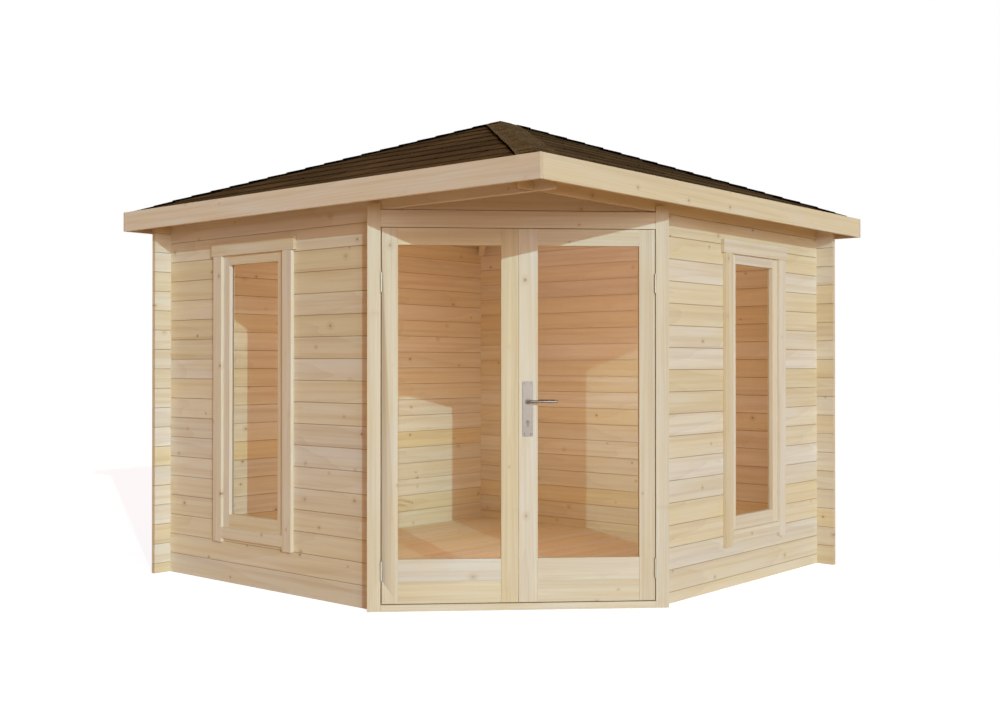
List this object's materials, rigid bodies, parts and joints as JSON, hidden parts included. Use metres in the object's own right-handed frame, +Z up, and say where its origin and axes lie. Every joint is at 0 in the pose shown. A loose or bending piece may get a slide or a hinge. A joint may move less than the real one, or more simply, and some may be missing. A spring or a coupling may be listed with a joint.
{
  "type": "log garden house",
  "caption": "Square log garden house with a glazed double door across one corner, a tall window in each front wall and a low hipped shingle roof.",
  "frame": {"origin": "centre of the roof's plan, on the underside of the first logs", "axes": "+X along the front wall towards the door corner, +Y from the front wall to the back wall, +Z up"},
  "size_m": [3.152, 3.152, 2.6922],
  "materials": {
    "log_wood": "planed, untreated",
    "trim_wood": "planed, untreated",
    "roof_wood": "planed, untreated",
    "floor_wood": "planed, untreated",
    "glass": "clear",
    "shingle": "matt, mineral-faced bitumen",
    "hinge_steel": "zinc plated",
    "lock_steel": "brushed"
  },
  "bodies": {
    "house": {"front_wall": "log_wood", "right_wall": "log_wood", "back_wall": "log_wood", "left_wall": "log_wood", "front_beam": "log_wood", "corner_boards": "log_wood", "door_posts": "trim_wood", "lintel": "trim_wood", "threshold": "trim_wood", "floor_bearers": "floor_wood", "floor": "floor_wood", "front_window_frame": "trim_wood", "front_window_glass": "glass", "front_window_casing": "trim_wood", "front_window_sill": "trim_wood", "right_window_frame": "trim_wood", "right_window_glass": "glass", "right_window_casing": "trim_wood", "right_window_sill": "trim_wood", "hip_rafters": "roof_wood", "apex_block": "roof_wood", "front_deck": "roof_wood", "right_deck": "roof_wood", "back_deck": "roof_wood", "left_deck": "roof_wood", "front_shingles": "shingle", "right_shingles": "shingle", "back_shingles": "shingle", "left_shingles": "shingle", "hip_caps": "shingle", "front_fascia": "trim_wood", "right_fascia": "trim_wood", "back_fascia": "trim_wood", "left_fascia": "trim_wood", "hinge_pins": "hinge_steel"},
    "left_door": {"left_door_frame": "trim_wood", "left_door_panel": "trim_wood", "left_door_glass": "glass", "left_door_hinges": "hinge_steel"},
    "right_door": {"right_door_frame": "trim_wood", "right_door_panel": "trim_wood", "right_door_glass": "glass", "right_door_hinges": "hinge_steel", "lock_plates": "lock_steel"},
    "door_lever": {"lever": "lock_steel"}
  },
  "joints": [
    {"name": "left_door_hinge", "type": "hinge", "parent": "house", "child": "left_door", "pos_m": [0.40489, -1.37574, 0.001], "axis": [0, 0, -1], "range_deg": [0, 110]},
    {"name": "right_door_hinge", "type": "hinge", "parent": "house", "child": "right_door", "pos_m": [1.37574, -0.40489, 0.001], "axis": [0, 0, 1], "range_deg": [0, 110]},
    {"name": "lever_turn", "type": "hinge", "parent": "right_door", "child": "door_lever", "pos_m": [0.91521, -0.85623, 1.04], "axis": [-0.7071, 0.7071, 0], "range_deg": [0, 40], "stiffness_Nm_per_rad": 1.5, "springref_deg": -40.11}
  ]
}
